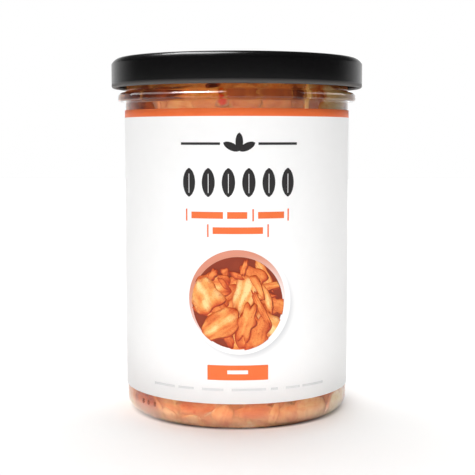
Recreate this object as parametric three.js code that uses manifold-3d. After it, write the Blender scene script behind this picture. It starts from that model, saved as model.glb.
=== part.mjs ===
// Kimchi jar: a straight-sided glass jar, its twist-off lid, a wrap-round label and the kimchi that fills it.
// Millimetres, +Z up. The origin is on the table under the jar's axis, and the label's front faces -Y.

import * as THREE from "three";
import { mergeVertices } from "three/addons/utils/BufferGeometryUtils.js";
import Module from "manifold-3d";

const wasm = await Module();
wasm.setup();

// Driving dimensions
const TOTAL_HEIGHT = 119.6;
const LID_RADIUS = 42.75; // outside of an 82 mm twist-off lid
const LID_HEIGHT = 10.1;
const BODY_RADIUS = 38.1; // outside of the glass, straight from heel to neck
const GLASS_WALL = 2.7;
const CLEARANCE = 0.3; // gap between pieces that touch in the real jar
const TURN_SEGMENTS = 48; // sides of every turned piece
const ARC_STEPS = 2; // half the number of straight steps in one arc of a profile
const QUARTER_TURN = Math.PI / 2;

// Lid
const LID_SHEET = 0.6;
const LID_SHOULDER = 3.2; // width of the slope between skirt and top
const LID_SHOULDER_DROP = 2.2; // height of that slope
const LID_CORNER = 0.6; // round between slope and skirt
const LID_CORNER_TURN = 0.58; // angle that this round turns through
const LID_CURL = 0.8; // radius of the rolled lower edge
const LID_BOTTOM = TOTAL_HEIGHT - LID_HEIGHT;
const PANEL_RADIUS = 25; // raised middle of the top
const PANEL_DROP = 0.7; // how far the middle lies below the lid's highest ring
const GROOVE_RADIUS = 33; // sunk ring round the middle
const GROOVE_DROP = 1.1;
const STEP_WIDTH = 1.5; // sloping walls between panel, groove and ring

// Glass jar
const RIM_TOP = TOTAL_HEIGHT - LID_SHEET - CLEARANCE;
const INNER_RADIUS = BODY_RADIUS - GLASS_WALL;
const HEEL_ROUND = 4.5;
const FOOT_WIDTH = 3.1; // flat ring that the jar stands on
const PUSH_UP = 1.4; // hollow under the middle of the base
const PUSH_UP_LEVEL = 0.7; // share of the hollow's radius where its roof starts to curve down
const FLOOR_HEIGHT = 2; // inside of the base, next to the wall
const FLOOR_CROWN = 1.6; // rise of the inside of the base at the middle
const INNER_HEEL_ROUND = 4;
const BEAD_RADIUS = 40.6; // ring under the lid
const BEAD_BOTTOM = 105;
const BEAD_FACE = 1.2; // upright face
const BEAD_CORNER = 1.1; // round over that face
const BEAD_CORNER_TURN = 1.19; // angle that this round turns through, where the slope up to the neck begins
const BEAD_HOLLOW = 0.5; // hollow round between slope and neck
const BEAD_ROUND = 0.4;
const BEAD_FILLET = 0.6;

// Label
const LABEL_BOTTOM = 8.7;
const LABEL_TOP = 102.1;
const LABEL_GAP = 8; // bare glass between the label's ends, at the back
const LABEL_SHEET = 0.15;
const LABEL_STANDOFF = 0.15; // glue between glass and label
const LABEL_INNER_RADIUS = BODY_RADIUS + LABEL_STANDOFF;

// Kimchi
const FILL_TOP = 112;
const FILL_BOTTOM = FLOOR_HEIGHT + FLOOR_CROWN + CLEARANCE;
const FILL_RADIUS = INNER_RADIUS * Math.cos(Math.PI / TURN_SEGMENTS) - CLEARANCE;
const CORE_DEPTH = 2.6; // how far the core lies inside the pieces' outer faces
const CORE_RADIUS = FILL_RADIUS - CORE_DEPTH;
const PIECE_COUNT = 76;
const PIECE_CELLS = [3, 2]; // grid of both faces of a piece, along and across
const PIECE_HALF_LENGTH = [8.5, 13];
const PIECE_HALF_WIDTH = [5.5, 9];
const PIECE_DEPTH = [0, 1.3]; // how far a piece lies behind the glass
const PIECE_TILT = [-0.7, 0.7];
const PIECE_CURL = [0.3, 0.9]; // how far its edges bend away from the glass
const PIECE_TAPER = [-0.25, 0.25];
const PIECE_ROUNDING = 0.2; // share by which its corners draw in
const PIECE_ROOT = 0.8; // how far it reaches into the core
const GOLDEN_ANGLE = Math.PI * (3 - Math.sqrt(5));

// Seeded draws, so that the heap is the same each time
const SEED_STEP = 16807;
const SEED_RANGE = 2147483647;
let seed = 2024;

function draw([low, high]) {
  seed = (seed * SEED_STEP) % SEED_RANGE;
  return low + (high - low) * (seed / SEED_RANGE);
}

// Solid of revolution about Z from a profile of (radius, height)
function turned(profile) {
  const geometry = new THREE.LatheGeometry(profile.getPoints(ARC_STEPS), TURN_SEGMENTS);
  return geometry.rotateX(QUARTER_TURN);
}

// Glass jar, from the middle of its underside over the rim to the middle of its floor
function glassJar() {
  const footOuter = BODY_RADIUS - HEEL_ROUND;
  const footInner = footOuter - FOOT_WIDTH;
  const filletMiddle = BODY_RADIUS + BEAD_FILLET;
  const faceTop = BEAD_BOTTOM + BEAD_FACE;
  const cornerMiddle = BEAD_RADIUS - BEAD_CORNER;
  const hollowMiddle = BODY_RADIUS + BEAD_HOLLOW;
  const slopeWidth = cornerMiddle - hollowMiddle + (BEAD_CORNER + BEAD_HOLLOW) * Math.cos(BEAD_CORNER_TURN);
  const slopeRise = slopeWidth / Math.tan(BEAD_CORNER_TURN);
  const beadTop = faceTop + slopeRise + (BEAD_CORNER + BEAD_HOLLOW) * Math.sin(BEAD_CORNER_TURN);
  const rimRound = GLASS_WALL / 2;
  const floorEdge = INNER_RADIUS - INNER_HEEL_ROUND;
  const profile = new THREE.Path();
  profile.moveTo(0, PUSH_UP);
  profile.quadraticCurveTo(footInner * PUSH_UP_LEVEL, PUSH_UP, footInner, 0);
  profile.absarc(footOuter, HEEL_ROUND, HEEL_ROUND, -QUARTER_TURN, 0);
  profile.absarc(filletMiddle, BEAD_BOTTOM - BEAD_FILLET, BEAD_FILLET, Math.PI, QUARTER_TURN, true);
  profile.absarc(BEAD_RADIUS - BEAD_ROUND, BEAD_BOTTOM + BEAD_ROUND, BEAD_ROUND, -QUARTER_TURN, 0);
  profile.absarc(cornerMiddle, faceTop, BEAD_CORNER, 0, BEAD_CORNER_TURN);
  profile.absarc(hollowMiddle, beadTop, BEAD_HOLLOW, Math.PI + BEAD_CORNER_TURN, Math.PI, true);
  profile.absarc(BODY_RADIUS - rimRound, RIM_TOP - rimRound, rimRound, 0, Math.PI);
  profile.absarc(floorEdge, FLOOR_HEIGHT + INNER_HEEL_ROUND, INNER_HEEL_ROUND, 0, -QUARTER_TURN, true);
  profile.quadraticCurveTo(floorEdge / 2, FLOOR_HEIGHT + FLOOR_CROWN, 0, FLOOR_HEIGHT + FLOOR_CROWN);
  return turned(profile);
}

// Lid of pressed sheet, from the middle of its underside round the rolled edge to the middle of its top
function lid() {
  const shoulder = LID_RADIUS - LID_SHOULDER;
  const cornerMiddle = LID_RADIUS - LID_CORNER;
  const cornerHeight = TOTAL_HEIGHT - LID_SHOULDER_DROP;
  const slopeStart = cornerMiddle + LID_CORNER * Math.cos(LID_CORNER_TURN);
  const slopeRise = LID_SHOULDER_DROP - LID_CORNER * Math.sin(LID_CORNER_TURN);
  const slopeBend = slopeStart - slopeRise * Math.tan(LID_CORNER_TURN);
  const curlMiddle = LID_RADIUS - LID_CURL;
  const curlStart = Math.acos((LID_CURL - LID_SHEET) / LID_CURL);
  const topLine = [
    [0, TOTAL_HEIGHT - PANEL_DROP],
    [PANEL_RADIUS, TOTAL_HEIGHT - PANEL_DROP],
    [PANEL_RADIUS + STEP_WIDTH, TOTAL_HEIGHT - GROOVE_DROP],
    [GROOVE_RADIUS, TOTAL_HEIGHT - GROOVE_DROP],
    [GROOVE_RADIUS + STEP_WIDTH, TOTAL_HEIGHT],
  ];
  const profile = new THREE.Path();
  profile.moveTo(0, topLine[0][1] - LID_SHEET);
  for (const [radius, height] of topLine.slice(1)) {
    profile.lineTo(radius, height - LID_SHEET);
  }
  profile.lineTo(shoulder, TOTAL_HEIGHT - LID_SHEET);
  profile.quadraticCurveTo(
    slopeBend - LID_SHEET / 2,
    TOTAL_HEIGHT - LID_SHEET,
    LID_RADIUS - LID_SHEET,
    cornerHeight - LID_SHEET,
  );
  profile.absarc(curlMiddle, LID_BOTTOM + LID_CURL, LID_CURL, curlStart, 2 * Math.PI);
  profile.absarc(cornerMiddle, cornerHeight, LID_CORNER, 0, LID_CORNER_TURN);
  profile.quadraticCurveTo(slopeBend, TOTAL_HEIGHT, shoulder, TOTAL_HEIGHT);
  for (const [radius, height] of topLine.toReversed()) {
    profile.lineTo(radius, height);
  }
  return turned(profile);
}

// Label: a thin sheet wrapped round the glass, with its open seam at the back
function label() {
  const front = -QUARTER_TURN;
  const halfWrap = Math.PI - LABEL_GAP / (2 * LABEL_INNER_RADIUS);
  const section = new THREE.Shape();
  section.absarc(0, 0, LABEL_INNER_RADIUS + LABEL_SHEET, front - halfWrap, front + halfWrap);
  section.absarc(0, 0, LABEL_INNER_RADIUS, front + halfWrap, front - halfWrap, true);
  section.closePath();
  return new THREE.ExtrudeGeometry(section, {
    depth: LABEL_TOP - LABEL_BOTTOM,
    curveSegments: TURN_SEGMENTS / 2,
    bevelEnabled: false,
  });
}

// Radius that the filling may reach at a height, inside the wall and the rounded inner heel
function fillLimit(height) {
  const belowRound = FLOOR_HEIGHT + INNER_HEEL_ROUND - height;
  if (belowRound <= 0) {
    return FILL_RADIUS;
  }
  return FILL_RADIUS - INNER_HEEL_ROUND + Math.sqrt(INNER_HEEL_ROUND ** 2 - belowRound ** 2);
}

// Core of the heap, which the pieces grow out of
function heapCore() {
  const bottom = FILL_BOTTOM + CORE_DEPTH / 2;
  const top = FILL_TOP - CORE_DEPTH;
  const profile = new THREE.Path();
  profile.moveTo(0, bottom);
  profile.lineTo(CORE_RADIUS - CORE_DEPTH, bottom);
  profile.lineTo(CORE_RADIUS, bottom + CORE_DEPTH);
  profile.lineTo(CORE_RADIUS, top);
  profile.lineTo(0, top);
  return turned(profile);
}

// One cut of cabbage pressed against the glass: a block bent to the wall, its edges curling inwards
function cabbagePiece(index) {
  const halfLength = draw(PIECE_HALF_LENGTH);
  const halfWidth = draw(PIECE_HALF_WIDTH);
  const depth = draw(PIECE_DEPTH);
  const tilt = draw(PIECE_TILT);
  const curl = draw(PIECE_CURL);
  const taper = draw(PIECE_TAPER);
  const azimuth = index * GOLDEN_ANGLE;
  const middle = THREE.MathUtils.lerp(FILL_BOTTOM, FILL_TOP, (index + 0.5) / PIECE_COUNT);
  const piece = new THREE.BoxGeometry(2, 2, 2, ...PIECE_CELLS, 1);
  const corners = piece.getAttribute("position");
  for (let i = 0; i < corners.count; i += 1) {
    const along = corners.getX(i);
    const across = corners.getY(i);
    const isOuterFace = corners.getZ(i) > 0;
    const rounding = 1 - PIECE_ROUNDING * (along * across) ** 2;
    const length = along * halfLength * rounding;
    const width = across * halfWidth * rounding * (1 + taper * along);
    const sideways = length * Math.cos(tilt) - width * Math.sin(tilt);
    const upwards = length * Math.sin(tilt) + width * Math.cos(tilt);
    const height = THREE.MathUtils.clamp(middle + upwards, FILL_BOTTOM, FILL_TOP);
    const angle = azimuth + sideways / FILL_RADIUS;
    const pressed = fillLimit(height) - depth - (curl * (along ** 2 + across ** 2)) / 2;
    const radius = isOuterFace ? pressed : Math.min(CORE_RADIUS - PIECE_ROOT, pressed - PIECE_ROOT);
    corners.setXYZ(i, radius * Math.sin(angle), -radius * Math.cos(angle), height);
  }
  return piece;
}

// Closed solid of a geometry, for joining
function solidOf(geometry) {
  const bare = geometry.clone();
  bare.deleteAttribute("normal");
  bare.deleteAttribute("uv");
  const welded = mergeVertices(bare, 1e-4);
  const vertProperties = new Float32Array(welded.getAttribute("position").array);
  const triVerts = new Uint32Array(welded.getIndex().array);
  return new wasm.Manifold(new wasm.Mesh({ numProp: 3, vertProperties, triVerts }));
}

// Geometry of a joined solid
function geometryOf(solid) {
  const mesh = solid.getMesh();
  const geometry = new THREE.BufferGeometry();
  geometry.setAttribute("position", new THREE.BufferAttribute(mesh.vertProperties, mesh.numProp));
  geometry.setIndex(new THREE.BufferAttribute(mesh.triVerts, 1));
  geometry.computeVertexNormals();
  return geometry;
}

// Kimchi: the core with every piece fused on, without the scraps and sealed hollows that fusing leaves
function kimchi() {
  let heap = solidOf(heapCore());
  for (let index = 0; index < PIECE_COUNT; index += 1) {
    heap = heap.add(solidOf(cabbagePiece(index)));
  }
  const shells = heap.decompose();
  return geometryOf(shells.reduce((best, shell) => (shell.volume() > best.volume() ? shell : best)));
}

// Colours and finishes
const glassMaterial = new THREE.MeshStandardMaterial({
  color: 0xe9eeec,
  roughness: 0.05,
  metalness: 0,
  transparent: true,
  opacity: 0.35,
});
const lidMaterial = new THREE.MeshStandardMaterial({ color: 0x17171a, roughness: 0.35, metalness: 0.3 });
const labelMaterial = new THREE.MeshStandardMaterial({ color: 0xf8f6f3, roughness: 0.5, metalness: 0 });
const kimchiMaterial = new THREE.MeshStandardMaterial({ color: 0xc8743f, roughness: 0.35, metalness: 0 });

const jar = new THREE.Group();

function addPart(name, geometry, material, height = 0) {
  const part = new THREE.Mesh(geometry, material);
  part.name = name;
  part.position.z = height;
  jar.add(part);
}

addPart("glass_jar", glassJar(), glassMaterial);
addPart("lid", lid(), lidMaterial);
addPart("label", label(), labelMaterial, LABEL_BOTTOM);
addPart("kimchi", kimchi(), kimchiMaterial);

export default jar;
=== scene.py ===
"""Dresses the kimchi jar: clear glass, black twist-off lid, printed label and kimchi in its brine."""

import logging
import math
from dataclasses import dataclass
from enum import Enum
from typing import Any

import bpy
import numpy as np
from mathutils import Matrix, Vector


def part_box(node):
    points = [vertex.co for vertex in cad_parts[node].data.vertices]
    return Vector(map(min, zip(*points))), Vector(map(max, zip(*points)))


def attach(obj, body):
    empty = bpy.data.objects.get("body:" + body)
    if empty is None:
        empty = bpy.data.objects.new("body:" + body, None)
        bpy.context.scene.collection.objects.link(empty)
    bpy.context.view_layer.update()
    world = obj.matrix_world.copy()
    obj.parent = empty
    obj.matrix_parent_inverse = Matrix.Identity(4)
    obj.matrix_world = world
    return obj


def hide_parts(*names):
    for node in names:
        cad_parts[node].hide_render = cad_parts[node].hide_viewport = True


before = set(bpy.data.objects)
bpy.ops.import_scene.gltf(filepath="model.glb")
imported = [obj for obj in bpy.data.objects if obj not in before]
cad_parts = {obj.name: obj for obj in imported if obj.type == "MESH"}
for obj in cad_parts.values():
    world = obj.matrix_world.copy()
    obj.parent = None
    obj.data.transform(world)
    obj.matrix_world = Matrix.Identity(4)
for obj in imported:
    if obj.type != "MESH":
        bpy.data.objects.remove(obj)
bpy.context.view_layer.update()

Colour = tuple[float, float, float, float]
Point = tuple[float, float, float]
Span = tuple[float, float]
Stops = tuple[tuple[float, Colour], ...]
Bar = tuple[float, float, float, float]

log = logging.getLogger("kimchi_jar")
MM = 0.001
BODY = "root"
GOLDEN_ANGLE = math.pi * (3 - math.sqrt(5))
SMOOTH_ANGLE = math.radians(50)
TINY = 1e-6  # merges doubled points, and keeps a divisor from being 0
LABEL_LIFT = 0.3  # millimetres of glue and paper between the glass and the label's face
WHITE_LIGHT = (1.0, 1.0, 1.0, 1.0)
NO_LIGHT = (0.0, 0.0, 0.0, 1.0)


def srgb(*channels: int) -> Colour:
    """Turns a colour as a screen shows it into linear light.

    Args:
        channels: red, green and blue, 0 to 255.

    Returns:
        The linear colour, opaque.
    """
    shares = [channel / 255 for channel in channels]
    linear = [share / 12.92 if share <= 0.04045 else ((share + 0.055) / 1.055) ** 2.4 for share in shares]
    return (*linear, 1.0)


def metres(span: Span) -> Span:
    """Turns a pair of millimetres into metres."""
    return (span[0] * MM, span[1] * MM)


class Wire:
    """A node's output socket, so that maths on it reads as a Python expression."""

    def __init__(self, shader: "Shader", socket: bpy.types.NodeSocket | None) -> None:
        """Keeps the socket and the shader that its node belongs to."""
        self.shader = shader
        self.socket = socket

    def _math(self, operation: str, first: Any, second: Any) -> "Wire":
        """Adds one Math node on two wires or numbers."""
        return self.shader.node("ShaderNodeMath", {"operation": operation}, {0: first, 1: second})

    def __add__(self, other: Any) -> "Wire":
        """Adds a wire or a number."""
        return self._math("ADD", self, other)

    def __sub__(self, other: Any) -> "Wire":
        """Takes away a wire or a number."""
        return self._math("SUBTRACT", self, other)

    def __rsub__(self, other: Any) -> "Wire":
        """Takes this wire away from a number."""
        return self._math("SUBTRACT", other, self)

    def __mul__(self, other: Any) -> "Wire":
        """Multiplies by a wire or a number."""
        return self._math("MULTIPLY", self, other)

    __radd__ = __add__
    __rmul__ = __mul__

    def between(self, low: float, high: float) -> "Wire":
        """Rises smoothly from 0, where this wire is at low, to 1, where it is at high."""
        limits = {"Value": self, "From Min": low, "From Max": high}
        return self.shader.node("ShaderNodeMapRange", {"interpolation_type": "SMOOTHSTEP"}, limits)


class Shader:
    """The node tree of one material or world."""

    def __init__(self, owner: bpy.types.Material | bpy.types.World) -> None:
        """Empties the owner's node tree.

        Args:
            owner: the material or world.
        """
        self.owner = owner
        owner.use_nodes = True
        self.tree = owner.node_tree
        self.tree.nodes.clear()

    def node(
        self,
        kind: str,
        settings: dict[str, Any] | None = None,
        sockets: dict[str | int, Any] | None = None,
        output: str | int = 0,
    ) -> Wire:
        """Adds any node.

        Args:
            kind: the node's type.
            settings: its properties, set first; "stops" holds a ramp's places and colours.
            sockets: a value or a wire for each input socket.
            output: the output socket to return.

        Returns:
            That output, or an empty wire for a node that has none.
        """
        made = self.tree.nodes.new(kind)
        for name, value in (settings or {}).items():
            if name == "stops":
                self._set_stops(made.color_ramp, value)
            else:
                setattr(made, name, value)
        for name, value in (sockets or {}).items():
            if isinstance(value, Wire):
                self.tree.links.new(value.socket, made.inputs[name])
            else:
                made.inputs[name].default_value = value
        return Wire(self, made.outputs[output] if len(made.outputs) else None)

    @staticmethod
    def _set_stops(ramp: bpy.types.ColorRamp, stops: Stops) -> None:
        """Gives a colour ramp its stops.

        Args:
            ramp: the ramp.
            stops: places and colours, in rising order.
        """
        while len(ramp.elements) < len(stops):
            ramp.elements.new(1.0)
        for element, (place, colour) in zip(ramp.elements, stops):
            element.position = place
            element.color = colour

    def place(self) -> Wire:
        """Gives the point on the object, in metres."""
        return self.node("ShaderNodeTexCoord", output="Object")

    def axis(self, name: str) -> Wire:
        """Gives one coordinate of the point on the object, in metres."""
        return self.node("ShaderNodeSeparateXYZ", {}, {"Vector": self.place()}, name)

    def away(self, point: Point = (0.0, 0.0, 0.0)) -> Wire:
        """Gives the distance in metres from a point in millimetres."""
        ends = {0: self.place(), 1: tuple(value * MM for value in point)}
        return self.node("ShaderNodeVectorMath", {"operation": "DISTANCE"}, ends, "Value")

    def sides(self, reach: Span) -> Wire:
        """Rises from 0 to 1 between two distances left and right of the jar's axis.

        Args:
            reach: the two distances, in millimetres.

        Returns:
            The eased share.
        """
        across = self.axis("X")
        low, high = metres(reach)
        return (across * across).between(low ** 2, high ** 2)

    def attribute(self, name: str, output: str = "Fac") -> Wire:
        """Reads an attribute that the mesh carries."""
        return self.node("ShaderNodeAttribute", {"attribute_name": name}, output=output)

    def stretched(self, vector: Wire, scale: Point) -> Wire:
        """Scales a vector along its axes, so that noise on it grows long."""
        return self.node("ShaderNodeMapping", {}, {"Vector": vector, "Scale": scale})

    def noise(self, vector: Wire, scale: float, detail: float = 3.0, roughness: float = 0.55) -> Wire:
        """Adds cloudy noise about 0.5, with so many waves for each unit of the vector."""
        sockets = {"Vector": vector, "Scale": scale, "Detail": detail, "Roughness": roughness}
        return self.node("ShaderNodeTexNoise", {}, sockets)

    def mix(self, share: Any, first: Any, second: Any, blend: str = "MIX") -> Wire:
        """Lays a second colour over a first as far as the share says."""
        settings = {"data_type": "RGBA", "blend_type": blend}
        return self.node("ShaderNodeMix", settings, {0: share, 6: first, 7: second}, 2)

    def ramp(self, share: Wire, stops: Stops) -> Wire:
        """Looks a value up in a row of colours."""
        return self.node("ShaderNodeValToRGB", {"stops": stops}, {"Fac": share})

    def bump(self, height: Wire, depth: float) -> Wire:
        """Turns a height into a bent normal, with the relief's depth in metres."""
        return self.node("ShaderNodeBump", {}, {"Height": height, "Distance": depth})

    def principled(self, sockets: dict[str, Any]) -> bpy.types.Material:
        """Ends the tree in a Principled surface.

        Args:
            sockets: the surface's values and wires.

        Returns:
            The finished material.
        """
        surface = self.node("ShaderNodeBsdfPrincipled", {}, sockets)
        self.node("ShaderNodeOutputMaterial", {}, {"Surface": surface})
        return self.owner


def new_shader(name: str) -> Shader:
    """Starts a material of its own."""
    return Shader(bpy.data.materials.new(name))


@dataclass(frozen=True)
class ClearGlass:
    """Flint glass with the faint ripple of a moulded jar."""

    name: str = "clear_glass"
    tint: Colour = (0.985, 0.992, 0.988, 1.0)
    ior: float = 1.5
    ripple_scale: float = 70.0
    ripple_depth: float = 0.02 * MM

    def material(self) -> bpy.types.Material:
        """Builds the glass.

        Returns:
            The material.
        """
        shader = new_shader(self.name)
        ripple = shader.noise(shader.place(), self.ripple_scale, detail=1.0)
        return shader.principled({
            "Base Color": self.tint,
            "Roughness": 0.0,
            "IOR": self.ior,
            "Transmission Weight": 1.0,
            "Normal": shader.bump(ripple, self.ripple_depth),
        })


@dataclass(frozen=True)
class BlackLacquer:
    """Satin black lacquer baked on tinplate, with a painted grey highlight over the rolled edge, in
    millimetres.
    """

    edge_top: float
    edge_fade: Span = (-1.1, 0.1)
    colour: Colour = srgb(9, 9, 10)
    dull_colour: Colour = srgb(13, 13, 14)
    # painted highlight: grey on the rolled edge
    edge_highlight: Colour = srgb(80, 77, 75)
    roughness: Span = (0.2, 0.28)
    edge_dulling: float = 0.3
    gloss_scale: float = 60.0
    peel_scale: float = 900.0
    peel_depth: float = 0.004 * MM

    def material(self) -> bpy.types.Material:
        """Builds the lacquer, with its fine peel and uneven gloss.

        Returns:
            The material.
        """
        shader = new_shader("black_lacquer")
        gloss = shader.noise(shader.place(), self.gloss_scale, detail=4.0)
        peel = shader.noise(shader.place(), self.peel_scale, detail=2.0)
        smooth, dull = self.roughness
        fade = (self.edge_top + self.edge_fade[0], self.edge_top + self.edge_fade[1])
        skirt = shader.axis("Z").between(*metres(fade))
        black = shader.mix(gloss, self.colour, self.dull_colour)
        return shader.principled({
            # painted highlight: the rolled edge is grey, the rest black
            "Base Color": shader.mix(skirt, self.edge_highlight, black),
            "Roughness": smooth + (dull - smooth) * gloss + self.edge_dulling * (1 - skirt),
            "Specular IOR Level": 0.22,
            "Coat Weight": 0.06,
            "Coat Roughness": 0.1,
            "Normal": shader.bump(peel, self.peel_depth),
        })


PAPER_ROUGHNESS = 0.42
PAPER_SPECULAR = 0.35
FIBRE_SCALE = 3500.0
FIBRE_DEPTH = 0.003 * MM


def coated_paper(shader: Shader, colour: Wire, roughness: Any = PAPER_ROUGHNESS) -> bpy.types.Material:
    """Ends a shader as smooth coated paper with fine fibres.

    Args:
        shader: the shader to end.
        colour: the printed colour.
        roughness: a number or a wire.

    Returns:
        The material.
    """
    fibre = shader.noise(shader.place(), FIBRE_SCALE, detail=2.0)
    return shader.principled({
        "Base Color": colour,
        "Roughness": roughness,
        "Specular IOR Level": PAPER_SPECULAR,
        "Normal": shader.bump(fibre, FIBRE_DEPTH),
    })


@dataclass(frozen=True)
class Print:
    """Ink or bare stock of the label: a faintly mottled colour."""

    name: str
    colour: Colour
    mottle: Colour
    mottle_scale: float = 220.0
    uneven_gloss: float = 0.1

    def material(self) -> bpy.types.Material:
        """Builds the printed paper.

        Returns:
            The material.
        """
        shader = new_shader(self.name)
        cloud = shader.noise(shader.place(), self.mottle_scale, detail=4.0)
        colour = shader.mix(cloud, self.colour, self.mottle)
        return coated_paper(shader, colour, PAPER_ROUGHNESS + self.uneven_gloss * (cloud - 0.5))


@dataclass(frozen=True)
class FadingPrint:
    """Ink that fades from one colour into another with the distance from a point, in millimetres."""

    name: str
    near: Colour
    far: Colour
    point: Point
    fade: Span

    def material(self) -> bpy.types.Material:
        """Builds the faded print.

        Returns:
            The material.
        """
        shader = new_shader(self.name)
        share = shader.away(self.point).between(*metres(self.fade))
        return coated_paper(shader, shader.mix(share, self.near, self.far))


class Ink(Enum):
    """The colours that the label is printed in."""

    WHITE = Print("label_white", srgb(246, 246, 246), srgb(250, 250, 250))
    ORANGE = Print("ink_orange", srgb(238, 110, 56), srgb(244, 122, 66))
    CHARCOAL = Print("ink_charcoal", srgb(38, 36, 37), srgb(46, 44, 45))
    GREY = Print("ink_grey", srgb(214, 214, 214), srgb(220, 220, 220))
    SHADE = FadingPrint(
        "ink_shade", srgb(214, 215, 217), srgb(248, 248, 248), point=(2.0, -38.4, 39.8), fade=(14.5, 17.8)
    )
    RUST = Print("ink_rust", srgb(124, 46, 30), srgb(158, 66, 40))
    PEACH = FadingPrint(
        "ink_peach", srgb(250, 246, 244), srgb(220, 146, 122), point=(3.5, -38.4, 36.0), fade=(11.5, 21.0)
    )


@dataclass(frozen=True)
class PrintedFood:
    """The inks of the picture of food on the label; scales are waves for each millimetre of a cut."""

    stops: Stops = (
        (0.0, srgb(112, 40, 30)),
        (0.2, srgb(196, 82, 46)),
        (0.45, srgb(232, 126, 64)),
        (0.7, srgb(246, 168, 92)),
        (1.0, srgb(252, 216, 150)),
    )
    shading: float = 0.5
    rib_scales: Point = (0.18, 1.1, 1.0)
    cloud_scale: float = 0.9
    stain: Colour = srgb(200, 62, 26)
    stain_share: float = 0.6
    stain_limits: Span = (0.6, 1.1)
    stain_raggedness: float = 1.6
    speck: Colour = srgb(168, 44, 22)
    speck_share: float = 0.6
    speck_scale: float = 3.5
    speck_limits: Span = (0.6, 0.7)

    def material(self) -> bpy.types.Material:
        """Builds the inks, which follow each cut's own tone, ribs and stained edge.

        Returns:
            The material.
        """
        shader = new_shader("printed_food")
        tone = shader.attribute("tone")
        rim = shader.attribute("rim")
        grain = shader.attribute("grain", "Vector")
        rib = shader.noise(shader.stretched(grain, self.rib_scales), 1.0, detail=2.0)
        cloud = shader.noise(grain, self.cloud_scale, detail=5.0, roughness=0.65)
        speck = shader.noise(grain, self.speck_scale, detail=2.0).between(*self.speck_limits)
        stained = (rim + self.stain_raggedness * (cloud - 0.5)).between(*self.stain_limits)
        colour = shader.ramp(tone + self.shading * (rib - 0.5) + self.shading * (cloud - 0.5), self.stops)
        colour = shader.mix(self.stain_share * stained, colour, self.stain)
        return shader.principled({
            "Base Color": shader.mix(self.speck_share * speck, colour, self.speck),
            "Roughness": PAPER_ROUGHNESS,
            "Specular IOR Level": PAPER_SPECULAR,
        })


@dataclass(frozen=True)
class ChilliBrine:
    """Cloudy orange liquid with fine chilli and shreds in it; heights and distances in millimetres."""

    stops: Stops = (
        (0.3, srgb(190, 96, 50)),
        (0.45, srgb(214, 130, 78)),
        (0.6, srgb(224, 154, 104)),
        (0.75, srgb(234, 190, 148)),
    )
    cloud_scale: float = 120.0
    shred_scale: float = 420.0
    shred_share: float = 0.25
    # painted shade: darker under the lid, and darker still at the sides
    lid_shade: Colour = (0.84, 0.69, 0.42, 1.0)
    lid_shade_heights: Span = (98.0, 105.0)
    shaded: Colour = (0.6, 0.64, 0.72, 1.0)
    shaded_reach: Span = (14.0, 33.0)
    # painted light: paler near the floor, most at the sides
    floor_light: Colour = srgb(255, 234, 212)
    floor_light_heights: Span = (2.5, 6.5)
    floor_light_shares: Span = (0.14, 0.55)

    def colour(self, shader: Shader) -> Wire:
        """Gives the liquid's colour, with clouds of chilli and paler shreds in it.

        Args:
            shader: the shader that needs it.

        Returns:
            The colour.
        """
        cloud = shader.noise(shader.place(), self.cloud_scale, detail=5.0, roughness=0.6)
        shred = shader.noise(shader.place(), self.shred_scale)
        return shader.ramp(cloud + self.shred_share * (shred - 0.5), self.stops)

    def painted_shade_and_light(self, shader: Shader, colour: Wire) -> Wire:
        """Paints shade on a colour towards the lid, most at the sides, and paints pale light over it near
        the floor.

        Args:
            shader: the shader that the colour belongs to.
            colour: the colour before painted shade and light.

        Returns:
            The colour with painted shade and light.
        """
        height = shader.axis("Z")
        sides = shader.sides(self.shaded_reach)
        lid_shade = height.between(*metres(self.lid_shade_heights))
        floor_light = 1 - height.between(*metres(self.floor_light_heights))
        middle, side = self.floor_light_shares
        # painted shade under the lid, deeper at the sides
        shaded_colour = shader.mix(lid_shade, colour, self.lid_shade, "MULTIPLY")
        shaded_colour = shader.mix(lid_shade * sides, shaded_colour, self.shaded, "MULTIPLY")
        # painted light near the floor, stronger at the sides
        return shader.mix(floor_light * (middle + (side - middle) * sides), shaded_colour, self.floor_light)

    def material(self) -> bpy.types.Material:
        """Builds the liquid; it mirrors nothing, because it touches the glass.

        Returns:
            The material.
        """
        shader = new_shader("chilli_brine")
        return shader.principled({
            # painted shade and light over the liquid's colour
            "Base Color": self.painted_shade_and_light(shader, self.colour(shader)),
            "Roughness": 0.3,
            "Specular IOR Level": 0.0,
            "Subsurface Weight": 0.5,
            "Subsurface Radius": (1.0, 0.4, 0.15),
            "Subsurface Scale": 2.5 * MM,
        })


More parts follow.
